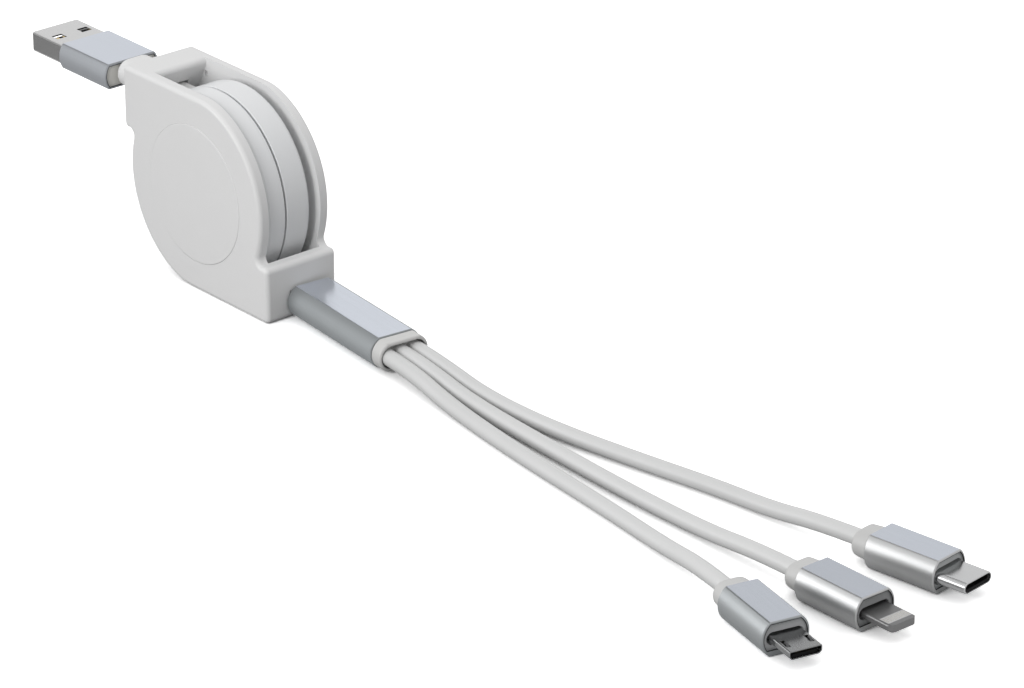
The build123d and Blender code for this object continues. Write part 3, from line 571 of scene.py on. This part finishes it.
# %% Assign the finishes
slots = {part["node"]: part["material_slot"] for part in frame["record"]["subparts"]}
for name, node in nodes.items():
    node.data.materials.clear()
    node.data.materials.append(looks[name] if name in looks else looks[slots[name]])
print("dressed nodes:", len(slots))

# %% [markdown]
# ## Round panels
# Each plate carries a thin round panel in its recess, a hair proud of the plate, so a fine
# line shows all round. A plain cylinder would have a hard edge. So the panel is turned like
# on a lathe: rings of points along a short profile, with several rings close together where
# the rim is rounded.

# %% Tube from rings
REEL_AXIS_Z = 0.0217


def closed_tube(name, rings, look):
    """A piece from rings of points that are joined in a row and closed by a face at each end."""
    count = len(rings[0])
    faces = [
        (near * count + step, near * count + (step + 1) % count,
         (near + 1) * count + (step + 1) % count, (near + 1) * count + step)
        for near in range(len(rings) - 1) for step in range(count)]
    last = (len(rings) - 1) * count
    faces += [tuple(range(count)), tuple(range(last, last + count))]
    mesh = bpy.data.meshes.new(name)
    mesh.from_pydata([point for ring in rings for point in ring], [], faces)
    skin = bmesh.new()
    skin.from_mesh(mesh)
    bmesh.ops.recalc_face_normals(skin, faces=skin.faces)
    skin.to_mesh(mesh)
    skin.free()
    mesh.materials.append(looks[look])
    piece = bpy.data.objects.new(name, mesh)
    scene.collection.objects.link(piece)
    return piece


print("reel axis at", REEL_AXIS_Z, "m")

# %% Panels in the plates' recesses
PANEL_FLOOR = 0.00885
# Radius and rise over the recess's floor, in millimetres
PANEL_PROFILE = [
    (14.6, 0.34), (14.95, 0.34), (15.02, 0.335), (15.09, 0.315), (15.14, 0.28), (15.16, 0.235),
    (15.16, 0.03), (15.16, -0.02),
]
PANEL_STEPS = 144


def round_panel(name, side):
    """A thin turned disc on one plate; the side is -1 for the front and 1 for the rear."""
    angles = [2 * math.pi * step / PANEL_STEPS for step in range(PANEL_STEPS)]
    rings = [
        [(radius / 1000 * math.cos(angle), side * (PANEL_FLOOR + rise / 1000),
          REEL_AXIS_Z + radius / 1000 * math.sin(angle)) for angle in angles]
        for radius, rise in PANEL_PROFILE]
    panel = closed_tube(name, rings, "housing_white")
    panel.data.shade_smooth()
    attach(panel, "housing")
    return panel


for name, side in (("front_panel", -1), ("rear_panel", 1)):
    print(name, "with", len(round_panel(name, side).data.polygons), "faces")

# %% [markdown]
# ## Seam of the drum
# The two cups of the drum meet in a narrow groove, and the dark gap at its bottom draws a line round
# the drum. Shadow alone would leave it grey, so a thin dark line of painted shade lies in the
# groove. It is a curve of two arcs with a tiny round bevel, left open where the ribbon passes.

# %% Thin lines of painted shade
LINE_ROUNDING = 2


def painted_shade_line(name, body, runs, radius, closed):
    """A thin round line of painted shade along one or more runs of points, which rides on a body."""
    data = bpy.data.curves.new(name, "CURVE")
    data.dimensions = "3D"
    for run in runs:
        line = data.splines.new("POLY")
        line.points.add(len(run) - 1)
        for target, place in zip(line.points, run):
            target.co = (*place, 1.0)
        line.use_cyclic_u = closed
    data.bevel_depth = radius
    data.bevel_resolution = LINE_ROUNDING
    data.use_fill_caps = not closed
    data.materials.append(looks["insulator_dark"])
    piece = bpy.data.objects.new(name, data)
    scene.collection.objects.link(piece)
    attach(piece, body)
    return piece


print("lines have", 4 + 4 * LINE_ROUNDING, "sides")

# %% Painted shade in the seam
SEAM_Y = -0.0015
SEAM_R = 0.02068
SEAM_SHADE_R = 0.0001
SEAM_ARCS = ((-44.0, 119.0), (136.0, 299.0))
SEAM_STEP = 2.0


def seam_arc(first, last):
    """Points round the drum between two angles in degrees."""
    count = int((last - first) / SEAM_STEP) + 1
    angles = [math.radians(first + step * SEAM_STEP) for step in range(count)]
    return [(SEAM_R * math.cos(a), SEAM_Y, REEL_AXIS_Z + SEAM_R * math.sin(a)) for a in angles]


arcs = [seam_arc(*ends) for ends in SEAM_ARCS]
seam_shade = painted_shade_line("drum_seam_shade", "housing", arcs, SEAM_SHADE_R, closed=False)
print("seam arcs:", len(seam_shade.data.splines))

# %% [markdown]
# ## Painted shade in the mouths
# Where a sleeve closes on its filling, a thin dark line of painted shade stands in the gap. It
# follows the inside of the sleeve: flat above and below, arched at the sides. The sleeve's own size
# gives the outline, and the same kind of thin line draws it, now as a closed loop.

# %% Outlines of the painted shade lines
SHADE_LINE_R = 0.00008
SHADE_LINE_STEPS = 14
TIP_ARCH, TIP_WALL, TIP_FLOOR = 0.0017, 0.0004, 0.0012
A_ARCH, A_WALL = 0.001, 0.00045


def mouth_shade_outline(width, height, arch, wall, floor):
    """Points (across, up) along the inside of a sleeve, from the arc of its sides."""
    wall, floor = wall + SHADE_LINE_R, floor + SHADE_LINE_R
    bow = ((height / 2) ** 2 + arch ** 2) / (2 * arch)
    low, high = floor - height / 2, height / 2 - wall
    ups = [low + (high - low) * step / SHADE_LINE_STEPS for step in range(SHADE_LINE_STEPS + 1)]
    side = [(width / 2 - bow + math.sqrt((bow - wall) ** 2 - up ** 2), up) for up in ups]
    return side + [(-across, up) for across, up in reversed(side)]


low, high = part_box("tab_sleeve")
tip_height = high[2] - low[2]
tip_outline = mouth_shade_outline(high[1] - low[1], tip_height, TIP_ARCH, TIP_WALL, TIP_FLOOR)
low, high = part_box("a_sleeve")
a_outline = mouth_shade_outline(high[1] - low[1], high[2] - low[2], A_ARCH, A_WALL, A_WALL)
a_mouth = (high[0], 0.0, (low[2] + high[2]) / 2)
print("bead outlines with", len(tip_outline), "points")

# %% Painted shade lines
SHADE_LINE_BACK = 0.0001
# Middle of each tail plug's mouth, and the plug's heading in degrees
TIP_FRONTS = {
    "micro_": (0.19728, -0.02628, -13.0),
    "tab_": (0.2005, -0.007, 0.0),
    "c_": (0.1985, 0.01395, 7.4),
}


def joint_mouth_shade(name, body, mouth, heading, outline):
    """A closed line of painted shade just inside a sleeve's mouth, across its heading in degrees."""
    ahead = (math.cos(math.radians(heading)), math.sin(math.radians(heading)))
    x, y = mouth[0] - SHADE_LINE_BACK * ahead[0], mouth[1] - SHADE_LINE_BACK * ahead[1]
    loop = [(x - across * ahead[1], y + across * ahead[0], mouth[2] + up) for across, up in outline]
    return painted_shade_line(name, body, [loop], SHADE_LINE_R, closed=True)


for prefix, (x, y, heading) in TIP_FRONTS.items():
    mouth = (x, y, tip_height / 2)
    joint_mouth_shade(prefix + "mouth_shade", "splitter", mouth, heading, tip_outline)
joint_mouth_shade("a_mouth_shade", "type_a_plug", a_mouth, 0.0, a_outline)

# %% [markdown]
# ## Tails
# A round cord could be a mesh tube, but a curve with a round bevel stays smooth at any bend.
# Its control points are the corner points of the cord in the CAD model. The tail hangs on the
# splitter.

# %% Routes of the tails
TAIL_R = 0.0017
# Node: start of its plug's names, length in metres, and control points in millimetres
TAILS = {
    "tail_micro": ("micro_", 0.1217, [
        (57.04, -4.91, 3.75), (66.98, -5.95, 3.75), (82.0, -8.0, 1.75), (106.0, -11.4, 1.75),
        (134.0, -14.1, 1.75), (154.0, -16.6, 1.75), (167.56, -19.42, 3.5), (177.31, -21.67, 3.5)]),
    "tail_tab": ("tab_", 0.1230, [
        (57.4, -1.48, 3.75), (67.35, -2.52, 3.75), (82.0, -3.6, 1.75), (106.0, -5.2, 1.75),
        (134.0, -6.5, 1.75), (155.0, -6.4, 1.75), (170.0, -7.0, 3.5), (180.0, -7.0, 3.5)]),
    "tail_c": ("c_", 0.1214, [
        (57.76, 1.95, 3.75), (67.71, 0.91, 3.75), (82.0, 0.4, 1.75), (101.0, 0.7, 1.75),
        (122.0, 3.9, 1.75), (142.0, 7.7, 1.75), (156.0, 9.3, 1.75), (168.25, 10.02, 3.5),
        (178.17, 11.31, 3.5)]),
}
print("tails:", {name: length for name, (prefix, length, points) in TAILS.items()})

# %% Tail curves
TAIL_SMOOTHING = 16
TAIL_ROUNDING = 6


def tail_curve(name, points):
    """A smooth round cord along the route's points, given in millimetres."""
    data = bpy.data.curves.new(name + "_cord", "CURVE")
    data.dimensions = "3D"
    line = data.splines.new("NURBS")
    line.points.add(len(points) - 1)
    for target, place in zip(line.points, points):
        target.co = (*(c / 1000 for c in place), 1.0)
    line.order_u = 3
    line.use_endpoint_u = True
    line.resolution_u = TAIL_SMOOTHING
    data.bevel_depth = TAIL_R
    data.bevel_resolution = TAIL_ROUNDING
    data.use_fill_caps = True
    data.materials.append(looks["tail_white"])
    piece = bpy.data.objects.new(name + "_cord", data)
    scene.collection.objects.link(piece)
    return piece


for name, (prefix, length, points) in TAILS.items():
    tail = tail_curve(name, points)
    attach(tail, "splitter")
    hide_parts(name)

# %% [markdown]
# ## Ribbon ends
# Between the housing and each end a flat ribbon comes out when the cable is pulled. A stiff strip
# would leave a gap there. So the ribbon is a strip whose cross lines lie close together along one
# stretch.

# %% Ribbon strips
RIBBON_HALF_W = 0.0025
RIBBON_HALF_T = 0.0004
RIBBON_STEPS = 48
# Section of the ribbon with its corners broken, in halves of its width and thickness
RIBBON_SECTION = [
    (-1, -0.5), (-0.94, -1), (0.94, -1), (1, -0.5), (1, 0.5), (0.94, 1), (-0.94, 1), (-1, 0.5)]
# Node: body at its outer end, first and last X, start and end of its stretch, and height
RIBBONS = {
    "a_ribbon": ("type_a_plug", -0.0058, -0.0391, -0.0300, -0.0350, 0.0381),
    "split_ribbon": ("splitter", 0.0058, 0.0460, 0.0225, 0.0275, 0.0053),
}


def ribbon_strip(name, x0, x1, start, end, z):
    """A flat strip along X, with its cross lines close together between start and end."""
    xs = [x0] + [start + (end - start) * i / RIBBON_STEPS for i in range(RIBBON_STEPS + 1)] + [x1]
    rings = [[(x, y * RIBBON_HALF_W, z + h * RIBBON_HALF_T) for y, h in RIBBON_SECTION] for x in xs]
    return closed_tube(name, rings, "ribbon_white")


for node, (body, x0, x1, start, end, z) in RIBBONS.items():
    strip = ribbon_strip(node + "_strip", x0, x1, start, end, z)
    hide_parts(node)
    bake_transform(strip)
    print(node, "strip with", len(strip.data.vertices), "points")
